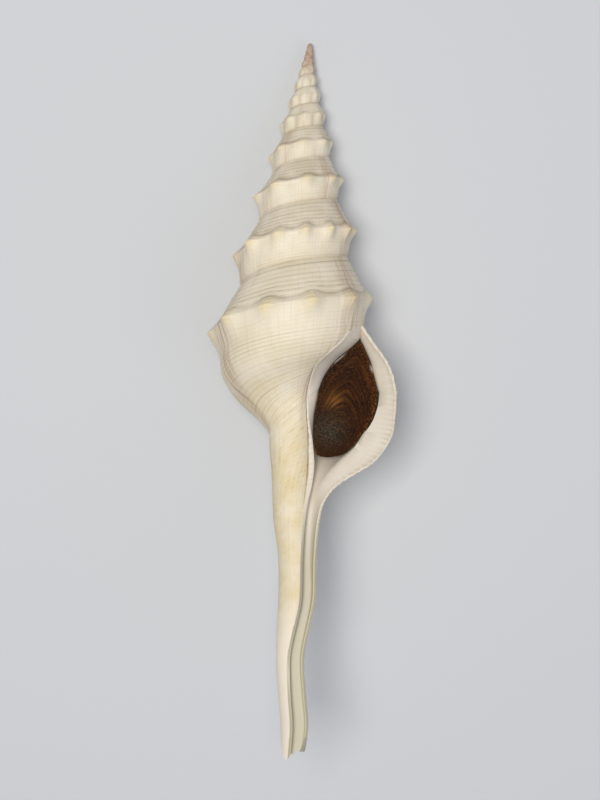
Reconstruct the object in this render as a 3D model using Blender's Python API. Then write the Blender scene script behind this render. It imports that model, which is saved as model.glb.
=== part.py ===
"""A long spindle shell with the horny operculum that closes its aperture, lying on its back.

The shell is one thin sheet wound round an axis. It is lofted here turn by turn: columns of
points run down the whorls from suture to suture, and each turn's lower edge is the next
turn's upper edge. The last turn runs on down into the siphonal canal. Its free edges, the
outer lip and the inner lip, are the mouth of a pocket that the operculum closes.

Lengths are in millimetres until the meshes are made. The shell is first built standing,
with its apex up, its aperture facing -Y and its axis on Z. "Depth" is the distance down
the axis from the point where the spiral would begin. Turn 0 is on the right (+X) of the
whorl above the aperture, and turns grow towards the lip: turn 0.5 is on the left.
"""

import math

import bmesh
import bpy
import numpy as np
from mathutils import Matrix

MM = 0.001

# The spiral
GROWTH = 1.345
SHOULDER_DEPTH = 83.2
SPIRE_SLOPE = 0.2965
TIP_SLIMMING = 3.6
TIP_BLUNTNESS = 0.55
TIP_BLUNT_DEPTH = 8.0
FIRST_TURN = -10.5
APEX_DEPTH = 2.0
APEX_RING = (2.45, 0.66)
LIP_TURN = 1.05
SUTURE_RATIO = 0.842
SUTURE_CLIMB = 0.025
RAMP_SWELL = 0.2

# A whorl under its shoulder: depth and radius, as shares of the shoulder's
LOWER_PROFILE = (
    (1.000, 0.905),
    (1.060, 0.895),
    (1.1325, 0.852),
    (1.180, 0.730),
    (1.225, 0.525),
    (1.265, 0.382),
    (1.300, 0.305),
    (1.345, 0.258),
)
NECK_RATIO = LOWER_PROFILE[-1][0]
NECK_FADE = 14.0
LAST_TURN_DRAW = 0.055
DRAW_STARTS = (1.00, 1.08)
DRAW_ENDS = (1.28, 1.36)
DRAW_TURNS = ((0.0, 0.5), (0.7, 0.95))

# How far the middle of the shell lies to the right of its axis, by depth
MIDDLE_LINE = (
    (0.0, 0.4),
    (12.0, -0.2),
    (25.0, -0.35),
    (45.0, -0.1),
    (65.0, -0.15),
    (85.0, -0.3),
    (104.0, 0.0),
    (129.0, 0.4),
    (138.0, 0.9),
    (146.0, 1.2),
    (153.0, 1.75),
    (163.8, 3.0),
    (178.2, 3.7),
    (185.4, 3.1),
    (193.0, 2.6),
    (205.0, 3.7),
    (214.0, 4.8),
    (224.0, 4.6),
)
CANAL_RADIUS = (
    (129.0, 6.5),
    (138.0, 6.1),
    (146.0, 5.95),
    (153.0, 5.9),
    (163.8, 5.35),
    (178.2, 5.4),
    (185.4, 4.9),
    (193.0, 4.3),
    (205.0, 4.2),
    (214.0, 4.2),
    (224.0, 3.4),
)
# The broken end of the canal: its depth, by turn
CANAL_END = (
    (0.27, 222.4),
    (0.32, 224.0),
    (0.38, 223.6),
    (0.44, 221.2),
    (0.50, 218.4),
    (0.60, 218.8),
    (0.70, 220.4),
    (0.80, 221.2),
    (0.88, 221.6),
    (0.93, 220.4),
    (1.01, 217.6),
)

# Knobs: how many stand before a turn, counted from the one at turn 0.5
KNOB_COUNT = (
    (-10.5, -93.0),
    (-5.0, -49.0),
    (-4.0, -41.0),
    (-3.0, -33.0),
    (-2.0, -25.0),
    (-1.77, -23.0),
    (-1.52, -21.0),
    (-1.0, -16.0),
    (-0.84, -14.0),
    (-0.69, -12.0),
    (-0.5, -10.0),
    (0.0, -5.0),
    (0.12, -4.0),
    (0.31, -2.0),
    (0.5, 0.0),
    (1.05, 5.5),
)
KNOB_FADE = 0.90
KNOB_HEIGHT = (
    (-4.0, 0.108),
    (-0.5, 0.108),
    (0.0, 0.094),
    (0.5, 0.080),
    (1.05, 0.080),
)
KNOB_SHARPNESS = 2.0
KNOB_RISE = 0.052
KNOB_FALL = 0.070
# Ribs from suture to suture on the early whorls, up to the first turn here; knobs from the second
RIB_HEIGHT = 0.085
RIBS_TO_KNOBS = (-7.0, -4.0)

# Stations down a column: 0 upper suture, SHOULDER, 1 lower suture, 2 neck, 3 canal tip
SHOULDER = 0.7

# The lips, by station: the turn at which each ends, and how far the outer one flares
INNER_LIP = (
    (1.00, LIP_TURN - 1),
    (1.09, 0.102),
    (1.20, 0.122),
    (1.37, 0.155),
    (1.50, 0.166),
    (1.60, 0.166),
    (1.75, 0.150),
    (1.85, 0.128),
    (2.05, 0.095),
    (2.13, 0.080),
    (2.20, 0.080),
    (2.25, 0.098),
    (2.30, 0.125),
    (2.45, 0.183),
    (2.60, 0.207),
    (2.72, 0.250),
    (3.00, 0.275),
)
OUTER_LIP = (
    (0.00, LIP_TURN),
    (1.50, LIP_TURN),
    (2.20, 1.064),
    (2.60, 1.055),
    (3.00, 1.050),
)
FLARE = (
    (0.0, 0.0),
    (0.2, 1.6),
    (0.38, 3.3),
    (0.51, 3.6),
    (0.7, 3.1),
    (0.85, 3.2),
    (1.0, 3.1),
    (1.15, 2.8),
    (1.3, 2.8),
    (1.4, 3.0),
    (1.5, 2.0),
    (1.6, 0.6),
    (1.7, 0.1),
    (1.8, 0.0),
)
FLARE_TURNS = 0.10
RIDGE_HEIGHT = 0.4
LIP_THICKNESS = 1.2
# How many turns back from the lip the wall reaches its thickness, by station
LIP_SLOPE = ((0.0, 0.035), (1.5, 0.035), (2.0, 0.09), (3.0, 0.12))

# The pocket behind the lips: its reach back from the outer lip in turns, and the wall over it
POCKET_REACH = (
    (0.0, 0.02),
    (0.12, 0.12),
    (0.4, 0.26),
    (0.7, 0.32),
    (1.2, 0.30),
    (1.6, 0.26),
    (2.0, 0.20),
    (3.0, 0.19),
)
WALL_THICKNESS = (
    (0.0, 1.6),
    (0.25, 2.6),
    (0.38, 2.45),
    (0.5, 3.2),
    (0.62, 3.2),
    (0.72, 2.95),
    (0.84, 2.55),
    (0.92, 2.6),
    (1.0, 3.6),
    (1.08, 4.5),
    (1.2, 5.1),
    (1.3, 5.0),
    (1.5, 4.4),
    (1.8, 3.4),
    (2.2, 3.2),
    (2.6, 2.8),
    (3.0, 2.0),
)

# The column's side of the pocket: how thick its glaze is at each depth, how soon it reaches
# that behind the inner lip, and how far this side winds back in turns
GLAZE = (
    (96.0, 0.0),
    (102.0, 0.5),
    (106.5, 2.1),
    (110.5, 2.5),
    (114.8, 1.8),
    (121.0, 0.3),
    (126.0, 0.0),
)
GLAZE_SOFTNESS = 0.4
COLUMN_TURNS = 0.33
CHANNEL_TURNS = 0.5
CHANNEL_WALL = 1.5
# Where the canal's channel begins, and how its floor lies, in shares of the canal's radius
CHANNEL_START = 128.0
CHANNEL_FULL = 150.0
CHANNEL_LEVEL = 0.28
CHANNEL_SLOPE = 0.22
CHANNEL_CORNER = 0.6

# The operculum: its edge (distance right of the axis, depth), and how it lies in the mouth
OPERCULUM_EDGE = (
    (19.2, 98.1),
    (15.5, 101.6),
    (11.9, 106.5),
    (8.6, 114.8),
    (7.2, 124.0),
    (7.3, 131.0),
    (8.4, 133.0),
    (12.1, 133.2),
    (16.6, 131.8),
    (20.8, 127.6),
    (24.2, 121.8),
    (25.9, 116.0),
    (25.6, 111.0),
    (23.8, 106.0),
    (21.5, 100.6),
)
OPERCULUM_THICKNESS = 1.2
OPERCULUM_DISH = 0.8
OPERCULUM_POINTS = 40
OPERCULUM_RINGS = (1.0, 0.7, 0.35)
OPERCULUM_FRONT = 2.5
OPERCULUM_SLANT = 0.16

# How finely the loft is drawn
COLUMNS_A_TURN = 64
FINE_TURN = -3.0
ROW_STEPS = ((-6.0, 2, 1), (-2.9, 3, 2), (9.0, 5, 3))
BASE_ROWS = 8
CANAL_ROWS = 12
WALL_COLUMNS = 6
WALL_CROWDING = 1.7
RETURN_COLUMNS = 8

# How it lies: the axis falls towards the apex, the shell is rolled about it, and the point
# where the spiral would begin is here, in metres
REST_TILT = 13.96
REST_ROLL = 0.88
SPIRAL_START = (-0.00210, 0.10938, 0.00231)


def ease(x, start=0.0, end=1.0):
    """0 before the start, 1 after the end, and smooth between."""
    x = np.clip((x - start) / (end - start), 0.0, 1.0)
    return x * x * (3 - 2 * x)


def smooth(knots, x):
    """A smooth curve through the knots (position, value), read at x, and level past its ends."""
    at, value = np.array(knots, float).T
    slope = np.gradient(value, at)
    x = np.clip(x, at[0], at[-1])
    i = np.clip(np.searchsorted(at, x, side="right") - 1, 0, len(at) - 2)
    span = at[i + 1] - at[i]
    f = (x - at[i]) / span
    near = value[i] * (1 + 2 * f) + slope[i] * span * f
    far = value[i + 1] * (3 - 2 * f) - slope[i + 1] * span * (1 - f)
    return near * (1 - f) ** 2 + far * f**2


def shoulder_depth(turn):
    return SHOULDER_DEPTH * GROWTH ** np.asarray(turn, float)


def shoulder_radius(turn):
    depth = shoulder_depth(turn)
    blunt = TIP_BLUNTNESS * np.exp(-((depth / TIP_BLUNT_DEPTH) ** 2))
    return SPIRE_SLOPE * depth / (1 + TIP_SLIMMING / depth) + blunt


def suture_depth(turn):
    """Depth of the upper suture, which climbs a little over the last half turn."""
    return (SUTURE_RATIO - SUTURE_CLIMB * ease(turn, 0.5, 1.0)) * shoulder_depth(turn)


def lower_radius(turn, depth):
    """Radius of the whorl under its shoulder, and of the canal that it runs out into."""
    ratio = depth / shoulder_depth(turn)
    begins, stops = DRAW_TURNS
    draw = ease(turn, *begins) * (1 - ease(turn, *stops))
    draw = draw * ease(ratio, *DRAW_STARTS) * (1 - ease(ratio, *DRAW_ENDS))
    neck = NECK_RATIO * shoulder_depth(turn)
    whorl = shoulder_radius(turn) * (smooth(LOWER_PROFILE, ratio) - LAST_TURN_DRAW * draw)
    spare = whorl - smooth(CANAL_RADIUS, neck)
    fade = np.exp(-np.maximum(depth - neck, 0) / NECK_FADE)
    canal = smooth(CANAL_RADIUS, depth) + spare * fade
    return np.where(depth > neck, canal, whorl)


def wall_radius(turn, depth):
    """Radius of the sheet without its knobs: a swelling ramp from suture to shoulder, then the rest."""
    top, shoulder = suture_depth(turn), shoulder_depth(turn)
    start = lower_radius(turn - 1, top)
    share = np.clip((depth - top) / (shoulder - top), 0, 1)
    full = shoulder_radius(turn) * LOWER_PROFILE[0][1]
    swell = share + RAMP_SWELL * (np.sin(share * math.pi / 2) - share)
    ramp = start + (full - start) * swell
    return np.where(depth < shoulder, ramp, lower_radius(turn, depth))


def knob(turn, depth):
    """How far a knob lifts the sheet, as a share of the shoulder's radius."""
    round_count = smooth(KNOB_COUNT, turn)
    crest = (1 + np.cos(2 * math.pi * round_count)) / 2
    early = 1 - ease(turn, *RIBS_TO_KNOBS)
    offset = depth / shoulder_depth(turn) - 1
    tubercle = np.exp(-((offset / np.where(offset < 0, KNOB_RISE, KNOB_FALL)) ** 2))
    top = suture_depth(turn) / shoulder_depth(turn) - 1
    foot = suture_depth(turn + 1) / shoulder_depth(turn) - 1
    reach = np.where(offset < 0, offset / top, offset / foot)
    rib = np.cos(np.clip(reach, 0, 1) * math.pi / 2)
    lift = smooth(KNOB_HEIGHT, turn) * (1 - early) * crest**KNOB_SHARPNESS * tubercle
    return (lift + RIB_HEIGHT * early * crest * rib) * (1 - ease(turn, KNOB_FADE, LIP_TURN))


def depth_at(turn, station):
    """Depth of a station on the column at this turn."""
    marks = [
        suture_depth(turn),
        shoulder_depth(turn),
        suture_depth(turn + 1),
        NECK_RATIO * shoulder_depth(turn),
        smooth(CANAL_END, turn),
    ]
    stations = (0, SHOULDER, 1, 2, 3)
    depth = marks[0]
    for above, below, start, end in zip(marks, marks[1:], stations, stations[1:]):
        depth = depth + (below - above) * np.clip((station - start) / (end - start), 0, 1)
    return depth


def polar(turn, depth, radius):
    """A point at this turn, depth and distance from the shell's middle line."""
    angle = -2 * math.pi * np.asarray(turn, float)
    x = radius * np.cos(angle) + smooth(MIDDLE_LINE, depth)
    return np.stack(np.broadcast_arrays(x, radius * np.sin(angle), -depth), axis=-1)


def sheet(turn, station):
    """A point on the outer face before its knobs and its flare."""
    turn, station = np.broadcast_arrays(np.asarray(turn, float), np.asarray(station, float))
    depth = depth_at(turn, station)
    return polar(turn, depth, wall_radius(turn, depth))


def outside(turn, station):
    """A point on the outer face."""
    turn, station = np.broadcast_arrays(np.asarray(turn, float), np.asarray(station, float))
    depth = depth_at(turn, station)
    near_lip = ease(turn, LIP_TURN - FLARE_TURNS, LIP_TURN) ** 2
    lift = smooth(FLARE, station) * near_lip + knob(turn, depth) * shoulder_radius(turn)
    return polar(turn, depth, wall_radius(turn, depth) + lift)


def with_floor(places):
    """The same points, but none behind the sloping floor of the canal."""
    x, y, depth = places[..., 0], places[..., 1], -places[..., 2]
    radius = smooth(CANAL_RADIUS, depth)
    left = 1 - (x - smooth(MIDDLE_LINE, depth)) / radius
    level = -radius * (CHANNEL_LEVEL + CHANNEL_SLOPE * left)
    behind = y - level
    raised = level + (behind - np.hypot(behind, CHANNEL_CORNER)) / 2
    mix = ease(depth, CHANNEL_START, CHANNEL_FULL)
    return np.stack([x, y * (1 - mix) + raised * mix, -depth], axis=-1)


def inside(turn, station, thickness):
    """The point this far under the plain sheet."""
    step = 1e-3
    along = sheet(turn + step, station) - sheet(turn - step, station)
    down = sheet(turn, station + step) - sheet(turn, station - step)
    normal = np.cross(along, down)
    normal /= np.linalg.norm(normal, axis=-1, keepdims=True)
    return sheet(turn, station) - np.asarray(thickness)[..., None] * normal


def column_side(station, share):
    """The column's side of the pocket, from the inner lip (share 0) to the pocket's back (share 1)."""
    lip = smooth(INNER_LIP, station)
    depth = depth_at(lip, station)
    back = lip - COLUMN_TURNS * share
    glaze = smooth(GLAZE, depth) * ease(share, 0.0, GLAZE_SOFTNESS)
    column = polar(back, depth, lower_radius(back, depth) + glaze)
    ahead = lip + CHANNEL_TURNS * share
    channel = polar(ahead, depth, lower_radius(ahead, depth) - CHANNEL_WALL)
    mix = ease(depth, CHANNEL_START, CHANNEL_FULL)[..., None]
    return with_floor(column * (1 - mix) + channel * mix)


def wall_side(station, share):
    """The wall's side of the pocket, from the outer lip (share 0) to the pocket's back (share 1)."""
    back = smooth(POCKET_REACH, station) * share
    turn = smooth(OUTER_LIP, station) - back
    lift = outside(turn, station) - sheet(turn, station)
    slope = ease(back / smooth(LIP_SLOPE, station))
    thickness = LIP_THICKNESS + (smooth(WALL_THICKNESS, station) - LIP_THICKNESS) * slope
    return with_floor(inside(turn, station, thickness) + lift * (1 - slope)[..., None])


def join(mesh, corners):
    """One face, leaving out a corner that repeats its neighbour."""
    kept = [c for i, c in enumerate(corners) if c is not corners[i - 1]]
    if len(kept) > 2:
        mesh.faces.new(kept)


def strip(mesh, left, right, above=(), below=()):
    """Faces between two columns of as many points, taking in a point between their ends."""
    last = len(left) - 2
    for k in range(last + 1):
        under = below if k == last else ()
        over = above if k == 0 else ()
        join(mesh, [left[k], *over, right[k], right[k + 1], *under, left[k + 1]])


def stitch(mesh, left, right):
    """Triangles between two runs of points that differ in number, across the shorter diagonal."""
    i = j = 0
    while i < len(left) - 1 or j < len(right) - 1:
        if j == len(right) - 1:
            step_left = True
        elif i == len(left) - 1:
            step_left = False
        else:
            step_left = (left[i + 1].co - right[j].co).length < (left[i].co - right[j + 1].co).length
        if step_left:
            join(mesh, [left[i], right[j], left[i + 1]])
            i += 1
        else:
            join(mesh, [left[i], right[j], right[j + 1]])
            j += 1


def points(mesh, places):
    return [mesh.verts.new(place) for place in places]


def whorl_stations(turn):
    """Stations of a column between its sutures, more of them on the larger whorls."""
    for end, above, below in ROW_STEPS:
        if turn < end - 1e-6:
            upper = np.linspace(0, SHOULDER, above, endpoint=False)
            return np.concatenate([upper, np.linspace(SHOULDER, 1, below + 1)])


def spire(mesh):
    """The whorls from suture to suture, as columns of points by their number from the first turn."""
    count = round((LIP_TURN - FIRST_TURN) * COLUMNS_A_TURN)
    first_fine = round((FINE_TURN - FIRST_TURN) * COLUMNS_A_TURN)
    apex = mesh.verts.new(polar(0.0, APEX_DEPTH, 0.0))
    ring_turns = FIRST_TURN + np.arange(0, COLUMNS_A_TURN, 2) / COLUMNS_A_TURN
    ring = points(mesh, polar(ring_turns, *APEX_RING))
    for k, point in enumerate(ring):
        join(mesh, [apex, ring[(k + 1) % len(ring)], point])
    columns = {}
    between = {}
    for number in range(count + 1):
        turn = FIRST_TURN + number / COLUMNS_A_TURN
        if number < first_fine and number % 2:
            if number + COLUMNS_A_TURN > first_fine:
                between[number] = mesh.verts.new(outside(turn, 1.0))
            continue
        above = number - COLUMNS_A_TURN
        if above < 0:
            top = ring[number // 2]
        else:
            top = columns[above][-1] if above in columns else between[above]
        stations = whorl_stations(turn)[1:] if number else np.ones(1)
        columns[number] = [top, *points(mesh, outside(turn, stations))]
    numbers = sorted(columns)
    for number, following in zip(numbers, numbers[1:]):
        left, right = columns[number], columns[following]
        if len(left) == len(right):
            step = [ring[0]] if following == COLUMNS_A_TURN else []
            middle = [between[number + 1]] if number + 1 in between else []
            strip(mesh, left, right, above=step, below=middle)
        else:
            stitch(mesh, left, right)
    return [columns[n] for n in numbers if n >= count - COLUMNS_A_TURN]


def last_base(mesh, whorl):
    """The last turn under its lower suture, down the base and the canal; returns its columns."""
    columns = []
    base = np.linspace(1, 2, BASE_ROWS + 1)[1:]
    canal = np.linspace(2, 3, CANAL_ROWS + 1)[1:]
    for number, top in enumerate(whorl):
        share = number / COLUMNS_A_TURN
        stations = base if number % 2 else np.concatenate([base, canal])
        inner, outer = smooth(INNER_LIP, stations), smooth(OUTER_LIP, stations)
        places = outside(inner + (outer - inner) * share, stations)
        if number == 0:
            away = places - polar(inner, depth_at(inner, stations), 0)
            places = places + RIDGE_HEIGHT * away / np.linalg.norm(away, axis=-1, keepdims=True)
        columns.append([top[-1], *points(mesh, places)])
    neck = BASE_ROWS
    for left, right in zip(columns, columns[1:]):
        strip(mesh, left[: neck + 1], right[: neck + 1])
    for left, middle, right in zip(columns[::2], columns[1::2], columns[2::2]):
        strip(mesh, left[neck:], right[neck:], above=[middle[neck]])
    return columns


def pocket(mesh, whorl, base):
    """The hollow behind the lips, closed at its back, and the open end of the canal."""
    corner = whorl[0][-1]
    outer_stations = np.concatenate(
        [
            whorl_stations(LIP_TURN)[1:],
            np.linspace(1, 2, BASE_ROWS + 1)[1:],
            np.linspace(2, 3, CANAL_ROWS + 1)[1:],
        ]
    )
    inner_stations = outer_stations[outer_stations > 1 + 1e-6]
    wall = [whorl[-1] + base[-1][1:]]
    for number in range(WALL_COLUMNS + 1):
        places = wall_side(outer_stations, (number / WALL_COLUMNS) ** WALL_CROWDING)
        wall.append([corner, *points(mesh, places)])
    column = [base[0]]
    for number in range(1, RETURN_COLUMNS + 1):
        places = column_side(inner_stations, number / RETURN_COLUMNS)
        column.append([corner, *points(mesh, places)])
    for left, right in zip(wall, wall[1:]):
        strip(mesh, left, right)
    for left, right in zip(column[1:], column):
        strip(mesh, left, right)
    stitch(mesh, wall[-1], column[-1])
    rim = [run[-1] for run in base[::2]]
    hollow = [run[-1] for run in column] + [run[-1] for run in reversed(wall)]
    stitch(mesh, hollow[1:-1], rim)


def shell_mesh():
    mesh = bmesh.new()
    whorl = spire(mesh)
    base = last_base(mesh, whorl)
    pocket(mesh, whorl, base)
    return mesh


def closed_curve(knots, count):
    """This many points along a smooth closed curve through the knots."""
    around = range(-2, len(knots) + 3)
    at = np.arange(count) * len(knots) / count
    sides = [smooth([(i, knots[i % len(knots)][side]) for i in around], at) for side in (0, 1)]
    return np.stack(sides, axis=-1)


def operculum_mesh():
    """A thin plate dished in front: rings of points from its edge to its middle, and a flat back."""
    mesh = bmesh.new()
    edge = closed_curve(OPERCULUM_EDGE, OPERCULUM_POINTS)
    middle = edge.mean(axis=0)

    def place(share, lift):
        across, depth = (middle + (edge - middle) * share).T
        front = -OPERCULUM_FRONT - OPERCULUM_SLANT * (across - OPERCULUM_EDGE[3][0])
        return np.stack([across, front + lift, -depth], axis=-1)

    rings = [points(mesh, place(r, OPERCULUM_DISH * (1 - r * r))) for r in OPERCULUM_RINGS]
    rings.append(points(mesh, place(1.0, OPERCULUM_THICKNESS + OPERCULUM_DISH)))
    for inner, outer in ((1, 0), (2, 1), (0, 3)):
        strip(mesh, rings[inner] + rings[inner][:1], rings[outer] + rings[outer][:1])
    join(mesh, rings[2])
    join(mesh, rings[3][::-1])
    return mesh


def plain_material(name, colour, roughness):
    material = bpy.data.materials.new(name)
    material.use_nodes = True
    shader = material.node_tree.nodes["Principled BSDF"]
    shader.inputs["Base Color"].default_value = (*colour, 1)
    shader.inputs["Roughness"].default_value = roughness
    shader.inputs["Metallic"].default_value = 0
    return material


def lay_down():
    """From the standing frame in millimetres to the shell lying on its back, in metres."""
    turned = Matrix.Rotation(math.radians(-90 - REST_TILT), 4, "X")
    rolled = Matrix.Rotation(math.radians(REST_ROLL), 4, "Z")
    return Matrix.Translation(SPIRAL_START) @ turned @ rolled @ Matrix.Scale(MM, 4)


def add(group, name, mesh, material):
    bmesh.ops.triangulate(mesh, faces=mesh.faces[:], quad_method="SHORT_EDGE", ngon_method="BEAUTY")
    mesh.transform(lay_down())
    data = bpy.data.meshes.new(name)
    mesh.to_mesh(data)
    mesh.free()
    data.shade_smooth()
    data.set_sharp_from_angle(angle=math.radians(40))
    data.materials.append(material)
    thing = bpy.data.objects.new(name, data)
    group.objects.link(thing)


def main():
    for thing in list(bpy.data.objects):
        bpy.data.objects.remove(thing)
    group = bpy.data.collections.new("spindle_shell")
    bpy.context.scene.collection.children.link(group)
    add(group, "shell", shell_mesh(), plain_material("ivory_shell", (0.80, 0.70, 0.52), 0.45))
    add(group, "operculum", operculum_mesh(), plain_material("brown_horn", (0.09, 0.04, 0.015), 0.4))


if __name__ == "__main__":
    main()
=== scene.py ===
# %% [markdown]
# # A long spindle shell, lying on its back
#
# A sea snail builds its shell at the lip of the aperture only, and it turns as it builds. So the
# shell is one sheet of lime wound round an axis, and its cords, knobs and growth lines are the
# lip's own outline left behind.
#
# Here we write the growth rule down as a function from two numbers to a place in space, and loft
# a mesh over it. That gives the back and the underside for nothing, all in one spiral.
#
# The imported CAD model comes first. It is the frame that every piece has to fit.

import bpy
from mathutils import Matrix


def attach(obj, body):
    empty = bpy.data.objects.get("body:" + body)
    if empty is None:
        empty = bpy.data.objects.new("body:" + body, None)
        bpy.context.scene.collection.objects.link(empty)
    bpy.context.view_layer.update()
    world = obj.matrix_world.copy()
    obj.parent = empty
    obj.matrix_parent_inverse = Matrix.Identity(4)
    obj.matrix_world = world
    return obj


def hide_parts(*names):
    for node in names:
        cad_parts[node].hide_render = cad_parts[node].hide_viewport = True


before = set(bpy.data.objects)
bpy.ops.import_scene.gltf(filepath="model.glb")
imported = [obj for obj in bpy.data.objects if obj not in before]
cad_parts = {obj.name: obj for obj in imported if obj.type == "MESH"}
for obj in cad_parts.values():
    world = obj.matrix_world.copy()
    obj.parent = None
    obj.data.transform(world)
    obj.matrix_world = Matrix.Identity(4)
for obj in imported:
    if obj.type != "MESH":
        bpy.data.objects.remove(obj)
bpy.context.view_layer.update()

# %% Tools of the trade
import math

import bpy
import numpy as np
from mathutils import Matrix, Vector

MM = 0.001

# %% [markdown]
# ## The growth rule
#
# We work in millimetres with the shell standing: apex up, axis on Z, aperture towards -Y.
# "Depth" is the distance down the axis from where the spiral would begin. Each turn multiplies
# every size by the same number, because the animal keeps its shape while it gets bigger. Turn 0
# is on the right of the whorl above the aperture, 0.25 faces us and 0.5 is on the left.
#
# Four small helpers do most of the shaping: a soft step, a band between two soft steps, a bell,
# and a smooth curve through a few knots. A curve through knots is easier to correct against a
# real shell than a formula is.

# %% The growth rule
GROWTH = 1.345
SHOULDER_DEPTH = 83.2
SPIRE_SLOPE = 0.2965
TIP_SLIMMING = 3.6
TIP_BLUNTNESS = 0.55
TIP_BLUNT_DEPTH = 8.0
FIRST_TURN = -10.5
APEX_DEPTH = 2.0
APEX_RING = (2.45, 0.66)
LIP_TURN = 1.05
SUTURE_RATIO = 0.842
SUTURE_CLIMB = 0.025
CLIMB_TURNS = (0.5, 1.0)
# A margin for comparing turns and stations, and a step for finding slopes
TINY = 1e-6
STEP = 1e-3


def ease(x, start, end):
    """0 before the start, 1 after the end, and smooth between."""
    x = np.clip((x - start) / (end - start), 0.0, 1.0)
    return x * x * (3 - 2 * x)


def band(x, rise, fall):
    """0, then 1 between the rise and the fall, then 0 again."""
    return ease(x, *rise) * (1 - ease(x, *fall))


def bell(x, width):
    """1 in the middle, and nearly 0 two widths away from it."""
    return np.exp(-((x / width) ** 2))


def smooth(knots, x):
    """A smooth curve through the knots (position, value), read at x, and level past its ends."""
    at, value = np.array(knots, float).T
    slope = np.gradient(value, at)
    x = np.clip(x, at[0], at[-1])
    i = np.clip(np.searchsorted(at, x, side="right") - 1, 0, len(at) - 2)
    span = at[i + 1] - at[i]
    f = (x - at[i]) / span
    near = value[i] * (1 + 2 * f) + slope[i] * span * f
    far = value[i + 1] * (3 - 2 * f) - slope[i + 1] * span * (1 - f)
    return near * (1 - f) ** 2 + far * f**2


def shoulder_depth(turn):
    return SHOULDER_DEPTH * GROWTH**turn


def shoulder_radius(turn):
    depth = shoulder_depth(turn)
    blunt = TIP_BLUNTNESS * bell(depth, TIP_BLUNT_DEPTH)
    return SPIRE_SLOPE * depth / (1 + TIP_SLIMMING / depth) + blunt


def suture_depth(turn):
    """Depth of the upper suture, which climbs a little over the last half turn."""
    return (SUTURE_RATIO - SUTURE_CLIMB * ease(turn, *CLIMB_TURNS)) * shoulder_depth(turn)


print("shoulder radius over the aperture, mm:", round(float(shoulder_radius(0.25)), 1))

# %% [markdown]
# ## The profile of a whorl
#
# Cut in half, each whorl shows the same outline: a sloping ramp under the suture, an angled
# shoulder, a side that draws in, and on the last whorl a neck that runs out into the siphonal
# canal. The canal is as long as the spire and wanders a little, so its middle gets knots too.

# %% The profile of a whorl
RAMP_SWELL = 0.2
LOWER_PROFILE = (
    (1, 0.905), (1.06, 0.895), (1.1325, 0.852), (1.18, 0.73), (1.225, 0.525), (1.265, 0.382),
    (1.3, 0.305), (1.345, 0.258),
)
NECK_RATIO = LOWER_PROFILE[-1][0]
NECK_FADE = 14.0
# The last whorl draws in a little more: how much, at which turns, and how far down
LAST_TURN_DRAW = 0.055
DRAW_TURNS = ((0, 0.5), (0.7, 0.95))
DRAW_RATIOS = ((1, 1.08), (1.28, 1.36))
# How far the middle of the shell lies to the right of its axis, by depth
MIDDLE_LINE = (
    (0, 0.4), (12, -0.2), (25, -0.35), (45, -0.1), (65, -0.15), (85, -0.3), (104, 0),
    (129, 0.4), (138, 0.9), (146, 1.2), (153, 1.75), (163.8, 3), (178.2, 3.7), (185.4, 3.1),
    (193, 2.6), (205, 3.7), (214, 4.8), (224, 4.6),
)
CANAL_RADIUS = (
    (129, 6.5), (138, 6.1), (146, 5.95), (153, 5.9), (163.8, 5.35), (178.2, 5.4), (185.4, 4.9),
    (193, 4.3), (205, 4.2), (214, 4.2), (224, 3.4),
)
# The broken end of the canal: its depth, by turn
CANAL_END = (
    (0.27, 222.4), (0.32, 224), (0.38, 223.6), (0.44, 221.2), (0.5, 218.4), (0.6, 218.8),
    (0.7, 220.4), (0.8, 221.2), (0.88, 221.6), (0.98, 221.3), (1.04, 217.4),
)


def lower_radius(turn, depth):
    """Radius of the whorl under its shoulder, and of the canal that it runs out into."""
    ratio = depth / shoulder_depth(turn)
    draw = band(turn, *DRAW_TURNS) * band(ratio, *DRAW_RATIOS)
    neck = NECK_RATIO * shoulder_depth(turn)
    whorl = shoulder_radius(turn) * (smooth(LOWER_PROFILE, ratio) - LAST_TURN_DRAW * draw)
    spare = whorl - smooth(CANAL_RADIUS, neck)
    fade = np.exp(-np.maximum(depth - neck, 0) / NECK_FADE)
    canal = smooth(CANAL_RADIUS, depth) + spare * fade
    return np.where(depth > neck, canal, whorl)


def wall_radius(turn, depth):
    """Radius of the plain sheet: a swelling ramp from suture to shoulder, then the rest."""
    top, shoulder = suture_depth(turn), shoulder_depth(turn)
    start = lower_radius(turn - 1, top)
    share = np.clip((depth - top) / (shoulder - top), 0, 1)
    full = shoulder_radius(turn) * LOWER_PROFILE[0][1]
    swell = share + RAMP_SWELL * (np.sin(share * math.pi / 2) - share)
    ramp = start + (full - start) * swell
    return np.where(depth < shoulder, ramp, lower_radius(turn, depth))


print("canal radius half way down, mm:", round(float(smooth(CANAL_RADIUS, 170.0)), 1))

# %% [markdown]
# ## Stations
#
# A place on the sheet is a turn and a station. Stations run down a column of points: 0 is the
# upper suture, 0.7 the shoulder, 1 the lower suture, 2 the neck and 3 the canal's broken end.
# Station 1 of one turn is station 0 of the next, which is how the whorls join.

# %% Stations and points
SHOULDER = 0.7


def depth_at(turn, station):
    """Depth of a station on the column at this turn."""
    shoulder, neck = shoulder_depth(turn), NECK_RATIO * shoulder_depth(turn)
    marks = suture_depth(turn), shoulder, suture_depth(turn + 1), neck, smooth(CANAL_END, turn)
    stations = 0, SHOULDER, 1, 2, 3
    depth = marks[0]
    for above, below, start, end in zip(marks, marks[1:], stations, stations[1:]):
        depth = depth + (below - above) * np.clip((station - start) / (end - start), 0, 1)
    return depth


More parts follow.
